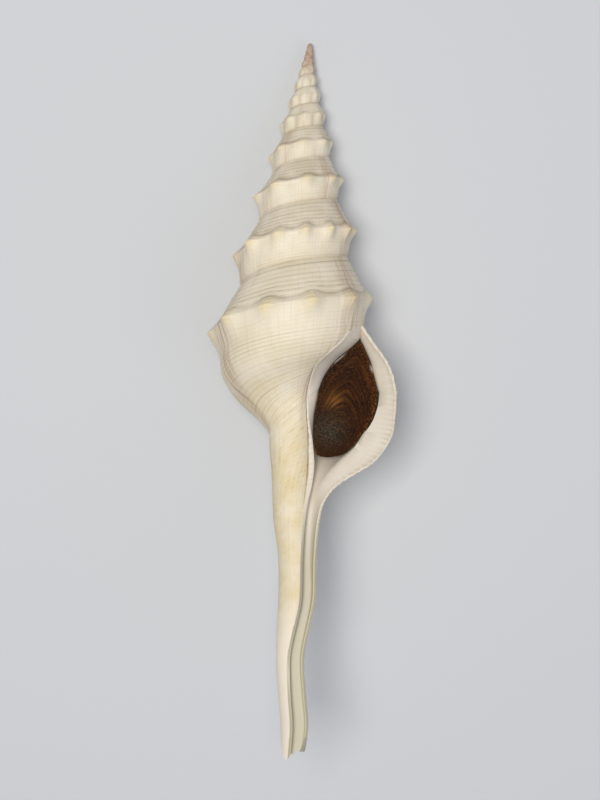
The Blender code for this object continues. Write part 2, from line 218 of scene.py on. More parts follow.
def polar(turn, depth, radius):
    """A point at this turn, depth and distance from the shell's middle line."""
    angle = -math.tau * turn
    x = radius * np.cos(angle) + smooth(MIDDLE_LINE, depth)
    return np.stack(np.broadcast_arrays(x, radius * np.sin(angle), -depth), axis=-1)


def sheet(turn, station):
    """A point on the plain sheet, before anything is raised on it."""
    turn, station = np.broadcast_arrays(turn, station)
    depth = depth_at(turn, station)
    return polar(turn, depth, wall_radius(turn, depth))


print("apex to broken end, mm:", round(float(smooth(CANAL_END, 0.33)) - APEX_DEPTH, 1))

# %% [markdown]
# ## Knobs
#
# Knobs aren't evenly spaced, so we count them: a curve gives how many have gone by at each turn,
# and one stands wherever that count is a whole number. On the first whorls they are ribs from
# suture to suture. Whorl by whorl these shorten, and end as blunt knobs on a raised keel.
#
# Just above the keel runs a narrow furrow that arches over every knob. It is shallow, but it
# shows as the darkest line on the shell, so it gets both shape and a line of painted shadow.

# %% Knobs and the keel that joins them
KNOB_COUNT = (
    (-10.5, -93), (-5, -49), (-4, -41), (-3, -33), (-2, -25), (-1.77, -23), (-1.52, -21),
    (-1, -16), (-0.84, -14), (-0.69, -12), (-0.5, -10), (0, -5), (0.12, -4), (0.31, -2),
    (0.5, 0), (1.05, 5.5),
)
KNOBS_END = (0.90, LIP_TURN)
KNOB_HEIGHT = (
    (-4, 0.095), (-0.5, 0.095), (0, 0.08), (0.5, 0.065), (0.7, 0.054), (1.05, 0.054),
)
KNOB_SHARPNESS = 2.0
KNOB_RISE = 0.038
KNOB_FALL = 0.044
POINT_HEIGHT = 0.006
POINT_SHARPNESS = 4.0
POINT_SPREAD = 0.022
KEEL_HEIGHT = 0.014
KEEL_SPREAD = 0.009
RIB_HEIGHT = 0.085
RIB_SHARPNESS = 1.5
RIBS_TO_KNOBS = (-5.5, -1.5)
# The furrow above the keel narrows as the shell grows, and rides up over each knob
FURROW_DEPTH = ((-1.5, 0.01), (0, 0.004))
FURROW_SPREAD = ((-1.5, 0.01), (0, 0.005))
FURROW_PLACE = 0.020
FURROW_ARCH = 0.014
FURROW_STARTS = (-4.5, -3.2)


def knob_crest(turn):
    """1 on the middle line of a knob and 0 half way between two."""
    return (1 + np.cos(math.tau * smooth(KNOB_COUNT, turn))) / 2


def furrow(turn, depth):
    """1 along the furrow above the keel and 0 away from it."""
    offset = depth / shoulder_depth(turn) - 1 + FURROW_PLACE + FURROW_ARCH * knob_crest(turn) ** 2
    return band(turn, FURROW_STARTS, KNOBS_END) * bell(offset, smooth(FURROW_SPREAD, turn))


def knob(turn, depth):
    """How far knobs, keel and ribs lift the sheet, as a share of the shoulder's radius."""
    crest = knob_crest(turn)
    early = 1 - ease(turn, *RIBS_TO_KNOBS)
    offset = depth / shoulder_depth(turn) - 1
    mound = bell(offset, np.where(offset < 0, KNOB_RISE, KNOB_FALL))
    keel = KEEL_HEIGHT * bell(offset, KEEL_SPREAD)
    lift = smooth(KNOB_HEIGHT, turn) * crest**KNOB_SHARPNESS * mound
    lift = lift + POINT_HEIGHT * crest**POINT_SHARPNESS * bell(offset, POINT_SPREAD)
    top = suture_depth(turn) / shoulder_depth(turn) - 1
    foot = suture_depth(turn + 1) / shoulder_depth(turn) - 1
    reach = np.where(offset < 0, offset / top, offset / foot)
    rib = RIB_HEIGHT * crest**RIB_SHARPNESS * np.cos(np.clip(reach, 0, 1) * math.pi / 2)
    raised = (lift + keel) * (1 - early) + rib * early
    raised = raised * (1 - ease(turn, *KNOBS_END))
    return raised - smooth(FURROW_DEPTH, turn) * furrow(turn, depth)


print("knobs on the last whorl:", round(float(smooth(KNOB_COUNT, 1.0) - smooth(KNOB_COUNT, 0.0))))

# %% [markdown]
# ## Spiral cords
#
# Fine cords run round the whole shell, about 1.4 mm apart on the ramps and 1 mm apart below.
# They catch the light and notch the lip, so they are real relief here: rounded tops with narrow
# grooves between. No two are the same height, which a fixed scramble of their number gives.
#
# On the ramp a cord keeps its place between suture and shoulder. Below the shoulder it keeps
# its share of the depth, so on the canal it winds down steeply.

# %% Spiral cords
# How many lie on the ramp, by turn, and how many between the shoulder and a depth below it
RAMP_CORDS = ((-8, 2.5), (-5, 3.5), (-3, 5), (-1, 7.5), (0, 8.5), (1.05, 8.5))
LOWER_CORDS = ((1, 0), (1.1325, 10), (1.345, 29), (1.7, 58), (2.8, 135))
# Their height in millimetres on the last whorl, by station
CORD_HEIGHT = (
    (0, 0.06), (0.12, 0.16), (0.58, 0.17), (0.7, 0.07), (0.8, 0.05), (1, 0.1), (1.4, 0.15),
    (2, 0.19), (2.3, 0.17), (2.6, 0.05), (2.8, 0),
)
# The least share of it that a cord has and how much its number adds, how it grows with the
# shell and how far, how round it is, and how deep it sits in the sheet
CORD_LEAST = 0.6
CORD_SPARE = 0.7
CORD_GROWTH = 0.8
CORD_TALLEST = 1.2
CORD_ROUNDING = 0.7
CORD_SUNK = 0.6
# Tan stain and painted shade in the grooves between them, by station, and from which turns on
GROOVE_STAIN_AND_SHADE = (
    (0, 0.7), (0.3, 0.95), (0.6, 0.9), (0.7, 0.3), (0.8, 0.2), (1, 0.45), (1.4, 0.5), (2, 0.45),
    (2.4, 0.3), (2.7, 0),
)
STAIN_STARTS = (-4.2, -2.6)
EARLY_STAIN = 0.35
LEAST_STAIN = 0.3
GROOVE_NARROWNESS = 3.0
# Cords ride up over each knob by this many cords
CORD_ARCH = 0.9
ARCH_STARTS = (-4.0, -1.5)
ARCH_SPREAD = 0.045


def scramble(number):
    """A fixed number between 0 and 1 that looks like chance, for a whole number."""
    return np.modf(np.abs(np.sin(number * 12.9898) * 43758.5453))[0]


def cord_count(turn, station, depth):
    """How many cords lie above this place, from the suture down."""
    ratio = depth / shoulder_depth(turn)
    ramp = smooth(RAMP_CORDS, turn)
    lower = ramp * (1 + smooth(LOWER_CORDS, ratio) / RAMP_CORDS[-1][1])
    count = np.where(station < SHOULDER, ramp * station / SHOULDER, lower)
    arch = CORD_ARCH * band(turn, ARCH_STARTS, KNOBS_END) * bell(ratio - 1, ARCH_SPREAD)
    return count + arch * knob_crest(turn) ** 2


def cord_lift(turn, station, depth):
    """How far the cords lift the sheet, in millimetres."""
    count = cord_count(turn, station, depth)
    own = CORD_LEAST + CORD_SPARE * scramble(np.floor(count))
    size = (shoulder_radius(turn) / shoulder_radius(0.5)) ** CORD_GROWTH
    top = np.abs(np.sin(math.pi * count)) ** CORD_ROUNDING - CORD_SUNK
    return smooth(CORD_HEIGHT, station) * np.minimum(size, CORD_TALLEST) * own * top


def groove_stain_and_shade(turn, station, depth):
    """How much tan stain and painted shade lies between the cords, 0 to 1."""
    count = cord_count(turn, station, depth)
    line = (1 - np.abs(np.sin(math.pi * count))) ** GROOVE_NARROWNESS
    stain = EARLY_STAIN + (1 - EARLY_STAIN) * ease(turn, *STAIN_STARTS)
    own = LEAST_STAIN + (1 - LEAST_STAIN) * scramble(np.round(count))
    return smooth(GROOVE_STAIN_AND_SHADE, station) * stain * line * own


print("cords between shoulder and neck:", LOWER_CORDS[2][1])

# %% [markdown]
# ## The two lips
#
# The aperture is where the sheet ends. Its outer lip on the right flares towards us, and its
# inner lip is a thin fold of glaze laid over the whorl on the left. Both are curves on the
# sheet: for each station, the turn at which it ends. The fold stands highest where the canal
# begins, and below the whorl a shallow crease parts it from the shell.

# %% The two lips, and the finished outer face
INNER_LIP = (
    (1, LIP_TURN - 1), (1.09, 0.108), (1.2, 0.124), (1.37, 0.152), (1.5, 0.166), (1.6, 0.161),
    (1.75, 0.148), (1.85, 0.139), (2.05, 0.117), (2.13, 0.082), (2.2, 0.075), (2.25, 0.092),
    (2.3, 0.125), (2.45, 0.183), (2.6, 0.207), (2.72, 0.25), (3, 0.275),
)
OUTER_LIP = ((0, LIP_TURN), (1.5, LIP_TURN), (2.2, 1.064), (2.6, 1.055), (3, 1.05))
FLARE = (
    (0, 0), (0.2, 1.6), (0.38, 3.3), (0.51, 3.6), (0.7, 3.1), (0.85, 3.2), (1, 3.1),
    (1.15, 2.8), (1.3, 2.8), (1.4, 3), (1.5, 2), (1.6, 0.6), (1.7, 0.1), (1.8, 0),
)
FLARE_TURNS = (LIP_TURN - 0.10, LIP_TURN)
# Cords start this far from the inner lip, in millimetres
CORDS_START = (1.0, 2.6)
# The fold of the inner lip, in millimetres: its height, and how far from its edge the crease is
FOLD_HEIGHT = (
    (1, 0.35), (1.4, 0.3), (1.6, 0.1), (2.06, 0.1), (2.14, 0.7), (2.2, 1.25), (2.25, 1.1),
    (2.31, 0.45), (3, 0.4),
)
FOLD_STARTS = (1.0, 1.1)
FOLD_WIDTH = 0.7
CREASE_PLACE = ((1, 1.1), (1.4, 0.9), (1.6, 0.45), (2.06, 0.45), (2.16, 1.25), (2.3, 1.1))
CREASE_ENDS = ((1.45, 1.6), (2.22, 2.34))
CREASE_DEPTH = 0.4
CREASE_WIDTH = 0.3


def crease(distance, station):
    """1 along the crease and 0 away from it, at a distance from the inner lip."""
    from_crease = distance - smooth(CREASE_PLACE, station)
    return band(station, *CREASE_ENDS) * bell(from_crease, CREASE_WIDTH)


def fold(distance, station):
    """Height of the inner lip's fold at a distance from its edge, with the crease beside it."""
    height = smooth(FOLD_HEIGHT, station) * bell(distance, FOLD_WIDTH)
    return height - CREASE_DEPTH * crease(distance, station)


def lip_distance(turn, station, depth):
    """Millimetres along the sheet from the inner lip, and far away on the whorls above it."""
    away = (turn - smooth(INNER_LIP, station)) * math.tau * lower_radius(turn, depth)
    return np.where(station > 1 + TINY, np.maximum(away, 0), math.inf)


def outside(turn, station):
    """A point on the finished outer face."""
    turn, station = np.broadcast_arrays(turn, station)
    depth = depth_at(turn, station)
    from_lip = lip_distance(turn, station, depth)
    lift = smooth(FLARE, station) * ease(turn, *FLARE_TURNS) ** 2
    lift = lift + knob(turn, depth) * shoulder_radius(turn)
    lift = lift + cord_lift(turn, station, depth) * ease(from_lip, *CORDS_START)
    lift = lift + fold(from_lip, station) * ease(station, *FOLD_STARTS)
    return polar(turn, depth, wall_radius(turn, depth) + lift)


print("inner lip's fold, mm high:", max(height for _, height in FOLD_HEIGHT))

# %% [markdown]
# ## Points and faces
#
# The mesh is made column by column. Neighbouring columns with as many points make four-sided
# faces. Where the numbers differ, triangles stitch them together across the shorter diagonal.
# Every point remembers its turn and station, which later say how it is painted.

# %% Points and faces
made = {"place": [], "turn": [], "station": [], "sunk": []}
faces = []
finishes = []
OUTER, GLAZED = 0, 1


def put(turn, station, place, sunk=0.0):
    """Adds points and returns their numbers. sunk is how far inside the aperture they are."""
    first = sum(len(run) for run in made["place"])
    place = np.atleast_2d(place)
    for name, value in (("turn", turn), ("station", station), ("sunk", sunk)):
        made[name].append(np.broadcast_to(value, len(place)))
    made["place"].append(place)
    return list(range(first, first + len(place)))


def join(corners, finish):
    """One face, leaving out a corner that repeats its neighbour."""
    kept = [c for i, c in enumerate(corners) if c != corners[i - 1]]
    if len(kept) > 2:
        faces.append(kept)
        finishes.append(finish)


def strip(left, right, finish=OUTER, above=(), below=()):
    """Faces between two columns of as many points, taking in a point between their ends."""
    last = len(left) - 2
    for k in range(last + 1):
        under = below if k == last else ()
        over = above if k == 0 else ()
        join([left[k], *over, right[k], right[k + 1], *under, left[k + 1]], finish)


def stitch(left, right, finish=OUTER):
    """Triangles between two runs of points that differ in number."""
    place = np.concatenate(made["place"])
    i = j = 0
    while i < len(left) - 1 or j < len(right) - 1:
        if j == len(right) - 1:
            step_left = True
        elif i == len(left) - 1:
            step_left = False
        else:
            across = place[left[i + 1]] - place[right[j]], place[left[i]] - place[right[j + 1]]
            step_left = np.linalg.norm(across[0]) < np.linalg.norm(across[1])
        if step_left:
            join([left[i], right[j], left[i + 1]], finish)
            i += 1
        else:
            join([left[i], right[j], right[j + 1]], finish)
            j += 1


print("ready to put points down")

# %% [markdown]
# ## The whorls
#
# The big whorls need four or five rows of points for each cord. The smallest need far fewer, so
# the rows step up with the turns, and above the third whorl only every second column is kept.

# %% The whorls
COLUMNS = 160
FINE_TURN = -3.0
# Up to this turn, how many rows between suture and shoulder, and from there to the next suture
ROW_STEPS = (
    (-7.5, 4, 3), (-6.0, 6, 4), (-5.0, 9, 6), (-4.0, 14, 10),
    (-2.9, 20, 15), (-2.0, 30, 22), (-1.0, 36, 30), (9.0, 42, 40),
)


def whorl_stations(turn):
    """Stations of a column between its sutures."""
    for end, above, below in ROW_STEPS:
        if turn < end - TINY:
            upper = np.linspace(0, SHOULDER, above, endpoint=False)
            return np.concatenate([upper, np.linspace(SHOULDER, 1, below + 1)])


def grow_spire():
    """The whorls from suture to suture. Returns the columns of the last turn."""
    count = round((LIP_TURN - FIRST_TURN) * COLUMNS)
    first_fine = round((FINE_TURN - FIRST_TURN) * COLUMNS)
    apex = put(FIRST_TURN, 0, polar(0.0, APEX_DEPTH, 0.0))[0]
    ring_turns = FIRST_TURN + np.arange(0, COLUMNS, 2) / COLUMNS
    ring_depth, ring_radius = APEX_RING
    ring = put(ring_turns, 0, polar(ring_turns, ring_depth, ring_radius))
    for k, point in enumerate(ring):
        join([apex, ring[(k + 1) % len(ring)], point], OUTER)
    columns = {}
    between = {}
    for number in range(count + 1):
        turn = FIRST_TURN + number / COLUMNS
        if number < first_fine and number % 2:
            if number + COLUMNS > first_fine:
                between[number] = put(turn, 1.0, outside(turn, 1.0))[0]
            continue
        above = number - COLUMNS
        if above < 0:
            top = ring[number // 2]
        else:
            top = columns[above][-1] if above in columns else between[above]
        stations = whorl_stations(turn)[1:] if number else np.ones(1)
        columns[number] = [top, *put(turn, stations, outside(turn, stations))]
    numbers = sorted(columns)
    for number, following in zip(numbers, numbers[1:]):
        left, right = columns[number], columns[following]
        middle = [between[number + 1]] if number + 1 in between else []
        if len(left) == len(right):
            step = [ring[0]] if following == COLUMNS else []
            strip(left, right, above=step, below=middle)
        else:
            stitch([*left, *middle], right)
    return [columns[n] for n in numbers if n >= count - COLUMNS]


whorl = grow_spire()
print("faces on the spire:", len(faces))

# %% [markdown]
# ## The base and the canal
#
# The last turn carries on below its suture, between the two lips. Its columns crowd towards the
# inner lip, where the thin fold and its crease need close points.

# %% The base and the canal
BASE_ROWS = 78
CANAL_ROWS = 170
CROWDING = 0.5
base_stations = np.linspace(1, 2, BASE_ROWS + 1)[1:]
canal_stations = np.linspace(2, 3, CANAL_ROWS + 1)[1:]


def grow_base(whorl):
    """The last turn under its lower suture. Returns its columns."""
    columns = []
    for number, top in enumerate(whorl):
        share = number / COLUMNS
        stations = base_stations
        if number % 2 == 0:
            stations = np.concatenate([base_stations, canal_stations])
        crowded = share ** (1 + CROWDING * ease(stations, 1.0, 1.3))
        inner, outer = smooth(INNER_LIP, stations), smooth(OUTER_LIP, stations)
        turn = inner + (outer - inner) * crowded
        columns.append([top[-1], *put(turn, stations, outside(turn, stations))])
    neck = BASE_ROWS
    for left, right in zip(columns, columns[1:]):
        strip(left[: neck + 1], right[: neck + 1])
    for left, middle, right in zip(columns[::2], columns[1::2], columns[2::2]):
        strip(left[neck:], right[neck:], above=[middle[neck]])
    return columns


base = grow_base(whorl)
print("faces with the base and canal:", len(faces))

# %% [markdown]
# ## Inside the aperture
#
# Behind the lips the snail lined the shell with a smooth glaze. What shows of it is a pocket
# that the operculum closes: one side follows the outer wall back from the lip, the other follows
# the column back from the inner lip, and they meet out of sight. The lip has a rounded edge,
# and each cord outside ends in a small scallop on it.

# %% The outer lip's edge and the wall's side
POCKET_REACH = (
    (0, 0.02), (0.12, 0.12), (0.4, 0.26), (0.7, 0.32), (1.2, 0.3), (1.6, 0.26), (2, 0.2),
    (3, 0.19),
)
WALL_THICKNESS = (
    (0, 2.7), (0.25, 2.8), (0.38, 2.6), (0.5, 3.2), (0.62, 3.2), (0.72, 3), (0.84, 3.2),
    (0.92, 3.8), (1, 5), (1.08, 5.7), (1.2, 6.1), (1.3, 5.8), (1.5, 4.7), (1.8, 3.4),
    (2.2, 3.2), (2.6, 2.8), (3, 2),
)
LIP_THICKNESS = 0.9
# How many turns back from the lip the wall reaches that thickness, by station
LIP_SLOPE = ((0, 0.035), (1.5, 0.035), (2, 0.1), (2.4, 0.2), (3, 0.2))
LIP_ROUND = 0.35
LIP_ANGLES = (35, 70, 110, 145)
SCALLOP = 0.4
SCALLOP_ENDS = ((0, 0.3), (1.55, 1.85))
WALL_COLUMNS = 14
COLUMN_CROWDING = 1.7
# Where the canal's channel begins, by depth, and its floor in shares of the canal's radius
CHANNEL_STARTS = (128.0, 150.0)
CHANNEL_LEVEL = 0.30
CHANNEL_CORNER = 1.0


def with_floor(places):
    """The same points, but none behind the floor of the canal."""
    x, y, depth = places[..., 0], places[..., 1], -places[..., 2]
    level = -smooth(CANAL_RADIUS, depth) * CHANNEL_LEVEL
    behind = y - level
    raised = level + (behind - np.hypot(behind, CHANNEL_CORNER)) / 2
    mix = ease(depth, *CHANNEL_STARTS)
    return np.stack([x, y * (1 - mix) + raised * mix, -depth], axis=-1)


def inside(turn, station, thickness):
    """The point this far under the plain sheet."""
    along = sheet(turn + STEP, station) - sheet(turn - STEP, station)
    down = sheet(turn, station + STEP) - sheet(turn, station - STEP)
    normal = np.cross(along, down)
    normal /= np.linalg.norm(normal, axis=-1, keepdims=True)
    return sheet(turn, station) - thickness[..., None] * normal


def wall_side(station, share):
    """The wall's side of the pocket, from the outer lip (share 0) to its back (share 1)."""
    back = smooth(POCKET_REACH, station) * share
    turn = smooth(OUTER_LIP, station) - back
    lift = outside(turn, station) - sheet(turn, station)
    slope = np.sin(np.clip(back / smooth(LIP_SLOPE, station), 0, 1) * math.pi / 2)
    thickness = LIP_THICKNESS + (smooth(WALL_THICKNESS, station) - LIP_THICKNESS) * slope
    return with_floor(inside(turn, station, thickness) + lift * (1 - slope)[..., None])


def lip_edge(station, angle):
    """The rounded edge between the outer face (angle 0) and the inner one (half a circle)."""
    turn = smooth(OUTER_LIP, station)
    outer, inner = outside(turn, station), wall_side(station, 0.0)
    ahead = sheet(turn + STEP, station) - sheet(turn, station)
    ahead /= np.linalg.norm(ahead, axis=-1, keepdims=True)
    count = cord_count(turn, station, depth_at(turn, station))
    scallop = SCALLOP * band(station, *SCALLOP_ENDS)
    bulge = LIP_ROUND + scallop * np.cos(math.tau * (count - 0.5))
    across = outer + (inner - outer) * (1 - math.cos(angle)) / 2
    return across + (bulge * math.sin(angle))[..., None] * ahead


print("lip thickness, mm:", LIP_THICKNESS)

# %% [markdown]
# The column's side starts at the inner lip. High up it is a thick glaze on the whorl above,
# further down the bare column, and past the aperture the channel of the canal.

# %% The column's side of the pocket
GLAZE = (
    (93, 1.3), (97, 0.85), (102, 0.7), (106.5, 1.5), (110.5, 1.8), (114.8, 1.4), (121, 0.3),
    (126, 0),
)
GLAZE_SOFTNESS = 0.4
COLUMN_TURNS = 0.33
CHANNEL_TURNS = 0.5
CHANNEL_WALL = 1.5
CHANNEL_DROPS = (0.0, 0.05)
RETURN_COLUMNS = 14


def column_side(station, share):
    """The column's side of the pocket, from the inner lip (share 0) to its back (share 1)."""
    lip = smooth(INNER_LIP, station)
    depth = depth_at(lip, station)
    back = lip - COLUMN_TURNS * share
    glaze = smooth(GLAZE, depth) * ease(share, 0.0, GLAZE_SOFTNESS)
    radius = lower_radius(back, depth)
    height = smooth(FOLD_HEIGHT, station)
    edge = height * bell(math.tau * radius * (lip - back), FOLD_WIDTH)
    column = polar(back, depth, radius + glaze + edge * ease(station, *FOLD_STARTS))
    ahead = lip + CHANNEL_TURNS * share
    edge = height - (height + CHANNEL_WALL) * ease(share, *CHANNEL_DROPS)
    channel = polar(ahead, depth, lower_radius(ahead, depth) + edge)
    mix = ease(depth, *CHANNEL_STARTS)[..., None]
    return with_floor(column * (1 - mix) + channel * mix)


def line_pocket(whorl, base):
    """The hollow behind the lips, closed at its back, and the open end of the canal."""
    corner = whorl[0][-1]
    upper = whorl_stations(LIP_TURN)[1:]
    outer = np.concatenate([upper, base_stations, canal_stations])
    inner = outer[outer > 1 + TINY]
    end = smooth(OUTER_LIP, outer)
    wall = [whorl[-1] + base[-1][1:]]
    for angle in np.radians(LIP_ANGLES):
        wall.append([corner, *put(end, outer, lip_edge(outer, angle))])
    for number in range(WALL_COLUMNS + 1):
        share = (number / WALL_COLUMNS) ** COLUMN_CROWDING
        wall.append([corner, *put(end - share, outer, wall_side(outer, share), share)])
    column = [base[0]]
    for number in range(1, RETURN_COLUMNS + 1):
        share = (number / RETURN_COLUMNS) ** COLUMN_CROWDING
        turn = smooth(INNER_LIP, inner) - share
        column.append([corner, *put(turn, inner, column_side(inner, share), share)])
    for left, right in zip(wall, wall[1:]):
        strip(left, right, GLAZED)
    for left, right in zip(column[1:], column):
        strip(left, right, GLAZED)
    stitch(wall[-1], column[-1], GLAZED)
    rim = [run[-1] for run in base[::2]]
    hollow = [run[-1] for run in column] + [run[-1] for run in reversed(wall)]
    stitch(hollow[1:-1], rim, GLAZED)


line_pocket(whorl, base)
print("faces with the pocket:", len(faces))

# %% [markdown]
# ## Laying it down
#
# A shell on a table rests where it is stable: here on the back of the last whorl and the side of
# the spire, so its axis falls about 14 degrees towards the apex and the canal points up.

# %% Lay it down, and make it a mesh
REST_TILT = 13.96
REST_ROLL = 0.88
SPIRAL_START = (-0.00210, 0.10938, 0.00231)
SHARP_EDGE = math.radians(50)
# The glaze's colour ends at this share of the way from the inner lip to the crease
GLAZE_EDGE = 0.9

turned = Matrix.Rotation(math.radians(-90 - REST_TILT), 4, "X")
rolled = Matrix.Rotation(math.radians(REST_ROLL), 4, "Z")
laid = Matrix.Translation(SPIRAL_START) @ turned @ rolled @ Matrix.Scale(MM, 4)


def lay(places):
    """Standing millimetres to metres on the floor."""
    across = np.array(laid.to_3x3())
    return places @ across.T + np.array(laid.translation)


def mesh_object(name, places, faces):
    data = bpy.data.meshes.new(name)
    data.from_pydata(lay(places).tolist(), [], faces)
    data.update()
    data.shade_smooth()
    data.set_sharp_from_angle(angle=SHARP_EDGE)
    thing = bpy.data.objects.new(name, data)
    bpy.context.scene.collection.objects.link(thing)
    return thing


def write_down(data, values, kind="FLOAT"):
    """Keeps values, or vectors, for each point of a mesh, by name."""
    for name, value in values.items():
        layer = data.attributes.new(name, kind, "POINT")
        layer.data.foreach_set("value" if kind == "FLOAT" else "vector", np.ravel(value))


place, turn, station, sunk = (
    np.concatenate(made[name]) for name in ("place", "turn", "station", "sunk")
)
from_crease = lip_distance(turn, station, -place[:, 2])
from_crease = from_crease - GLAZE_EDGE * smooth(CREASE_PLACE, station)
finishes = [
    GLAZED if from_crease[face].max() < 0 else finish for face, finish in zip(faces, finishes)
]
shell = mesh_object("spindle_shell", place, faces)
shell.data.polygons.foreach_set("material_index", finishes)
triangles = sum(len(f) - 2 for f in faces)
print("shell:", len(place), "points,", triangles, "triangles")

# %% [markdown]
# ## What the paint needs to know
#
# The shell's colours follow how it grew: tan stain and painted shade in the grooves, yellow on
# the knobs, painted shade on the ramps and at the sutures, a rosy tip, and yellow down the canal.
# On the first whorls painted shade lies between the ribs and in the sutures instead. Each is a
# number for every point, worked out from its turn and station, and the material reads it by name.
#
# A snail stops growing now and then, and the lip of that time stays behind as a band of brown
# lines. A table says at which turns, and the bands lean forward as they run down the shell.
#
# Growth lines run across the cords. Their coordinate is a point's direction from the axis, with
# its depth squeezed to a fraction: it has no seam, and noise read there comes out as streaks.

# %% Values for the paint
GROWTH_RADIUS = 25.0
GROWTH_SQUEEZE = 0.05
RAY_LENGTH = 0.012
# How much painted shade darkens the ramps, by turn, and between which stations
RAMP_SHADE = (
    (-4, 0), (-3.4, 0.3), (-2.8, 0.8), (-1, 0.9), (0, 0.3), (0.5, 0.3), (0.9, 0.6),
)
RAMP_ENDS = ((0, 0.1), (0.6, 0.7))
# How much painted shade lies between the ribs of the first whorls, and in their sutures
VALLEY_SHADE = ((-8, 0), (-6.5, 0.3), (-3, 0.33), (-1.5, 0))
VALLEY_STARTS = (0.5, 0.75)
VALLEY_NARROWNESS = 6
EARLY_SUTURE_SHADE = ((-9, 0.2), (-7, 0.8), (-4, 0.8), (-2.5, 0))
SUTURE_SPREAD = 0.06
# How dark the painted shadow along the furrow is
FURROW_SHADOW = 0.7
# How far the shade under a suture and the shade above the next one reach, in stations
SHADE_BELOW = 0.05
SHADE_ABOVE = 0.03
LAST_SHADED_TURN = 0.05
KNOB_CAP = 4
KNOB_CAP_SPREAD = 0.026
# The turns at which the snail stopped growing for a while, and how plain each halt is
HALTS = (
    (-3.72, 0.5), (-3.1, 0.4), (-2.65, 0.6), (-2.3, 0.4), (-1.87, 0.8), (-1.59, 0.6),
    (-0.92, 0.9), (-0.53, 0.8), (-0.22, 0.5), (0.11, 1), (0.445, 1),
)
HALT_SPREAD = 0.028
HALT_LEAN = 0.06
LEAN_STARTS = (1.1, 1.7)
HALTS_END = (1.8, 2.2)
# Depths in millimetres between which colours come and go
TIP_ENDS = (7.0, 15.0)
YOLK_ENDS = ((95, 140), (172, 190))
ROSY_STARTS = (170.0, 195.0)
LIME_STARTS = (138.0, 168.0)

depth = -place[:, 2]
outer = sunk == 0
crest = knob_crest(turn)
cap = crest**KNOB_CAP * bell(depth / shoulder_depth(turn) - 1, KNOB_CAP_SPREAD)
shade = np.exp(-station / SHADE_BELOW)
shade = shade + np.exp(-np.abs(station - 1) / SHADE_ABOVE) * (turn < LAST_SHADED_TURN)
leaning = turn - HALT_LEAN * ease(station, *LEAN_STARTS)
halts = sum(plain * bell(leaning - at, HALT_SPREAD) for at, plain in HALTS)
# Painted shade between the ribs of the first whorls
valley = smooth(VALLEY_SHADE, turn) * (1 - crest) ** VALLEY_NARROWNESS
# Tan stain and painted shade in the grooves; painted shade in furrow, crease and first ribs
stain_and_shade_marks = (
    groove_stain_and_shade(turn, station, depth),
    FURROW_SHADOW * furrow(turn, depth),
    # Painted shade in the crease beside the inner lip
    crease(lip_distance(turn, station, depth), station),
    valley * ease(station, *VALLEY_STARTS),
    smooth(EARLY_SUTURE_SHADE, turn) * np.exp(-station / SUTURE_SPREAD),
)
rays = np.cos(math.tau * cord_count(turn, station, depth)) * np.exp(-sunk / RAY_LENGTH)
angle = -math.tau * turn
around = np.stack([np.cos(angle), np.sin(angle), GROWTH_SQUEEZE * depth / GROWTH_RADIUS], -1)
paint_values = {
    "groove_stain_and_shade": np.max(stain_and_shade_marks, axis=0) * outer,
    # Painted shade on the ramps
    "ramp": band(station, *RAMP_ENDS) * smooth(RAMP_SHADE, turn) * outer,
    "halt": halts * (1 - ease(station, *HALTS_END)) * outer,
    "knob": cap * band(turn, RIBS_TO_KNOBS, KNOBS_END) * outer,
    "suture": np.clip(shade, 0, 1) * outer,
    "tip": 1 - ease(depth, *TIP_ENDS),
    "yolk": band(depth, *YOLK_ENDS),
    "rosy": ease(depth, *ROSY_STARTS),
    "channel": ease(depth, *LIME_STARTS),
    "sunk": sunk,
    "ray": np.clip(rays, 0, 1) * ease(station, 0.0, 0.3),
}
write_down(shell.data, paint_values)
write_down(shell.data, {"around": GROWTH_RADIUS * around}, "FLOAT_VECTOR")
print("paint values:", ", ".join(paint_values))

# %% [markdown]
# ## Colour and nodes
#
# Colours are written in sRGB, as on a screen, and one function makes them linear for shaders.
# Another adds a node with its settings and inputs, where an input is a value or a link.
#
# Nature paints in layers that never quite cover, so we do too. A layer is a colour, a paint
# value that places it, a noise that breaks it up, the span of that noise over which it fades
# in, and how much of it there is at most. A noise is what it runs along (None for plain space),
# its scale, its detail and its harshness.

# %% Colour and nodes
def paint(code):
    """An sRGB hex colour as the linear colour that shaders take."""
    shares = [int(code[i : i + 2], 16) / 255 for i in (1, 3, 5)]
    linear = [s / 12.92 if s <= 0.04045 else ((s + 0.055) / 1.055) ** 2.4 for s in shares]
    return (*linear, 1.0)


def add_node(tree, kind, settings=(), inputs=()):
    """Adds a node with its settings, and its inputs: a value, or an output to link."""
    node = tree.nodes.new(kind)
    for name, value in dict(settings).items():
        setattr(node, name, value)
    for name, value in dict(inputs).items():
        if isinstance(value, bpy.types.NodeSocket):
            tree.links.new(value, node.inputs[name])
        else:
            node.inputs[name].default_value = value
    return node


def new_material(name, roughness, ior, gloss, values=(), noises=()):
    """A new material, its nodes and its shader, the paint values it reads, and its noises."""
    material = bpy.data.materials.new(name)
    material.use_nodes = True
    tree = material.node_tree
    shader = tree.nodes["Principled BSDF"]
    shader.inputs["Roughness"].default_value = roughness
    shader.inputs["IOR"].default_value = ior
    shader.inputs["Specular IOR Level"].default_value = gloss
    at = add_node(tree, "ShaderNodeTexCoord").outputs["Object"]
    read = {
        value: add_node(tree, "ShaderNodeAttribute", {"attribute_name": value}).outputs
        for value in values
    }
    noises = [
        add_node(
            tree,
            "ShaderNodeTexNoise",
            inputs={
                "Vector": read[along]["Vector"] if along else at,
                "Scale": scale,
                "Detail": detail,
                "Roughness": harshness,
            },
        ).outputs["Fac"]
        for along, scale, detail, harshness in noises
    ]
    return material, tree, shader, read, noises


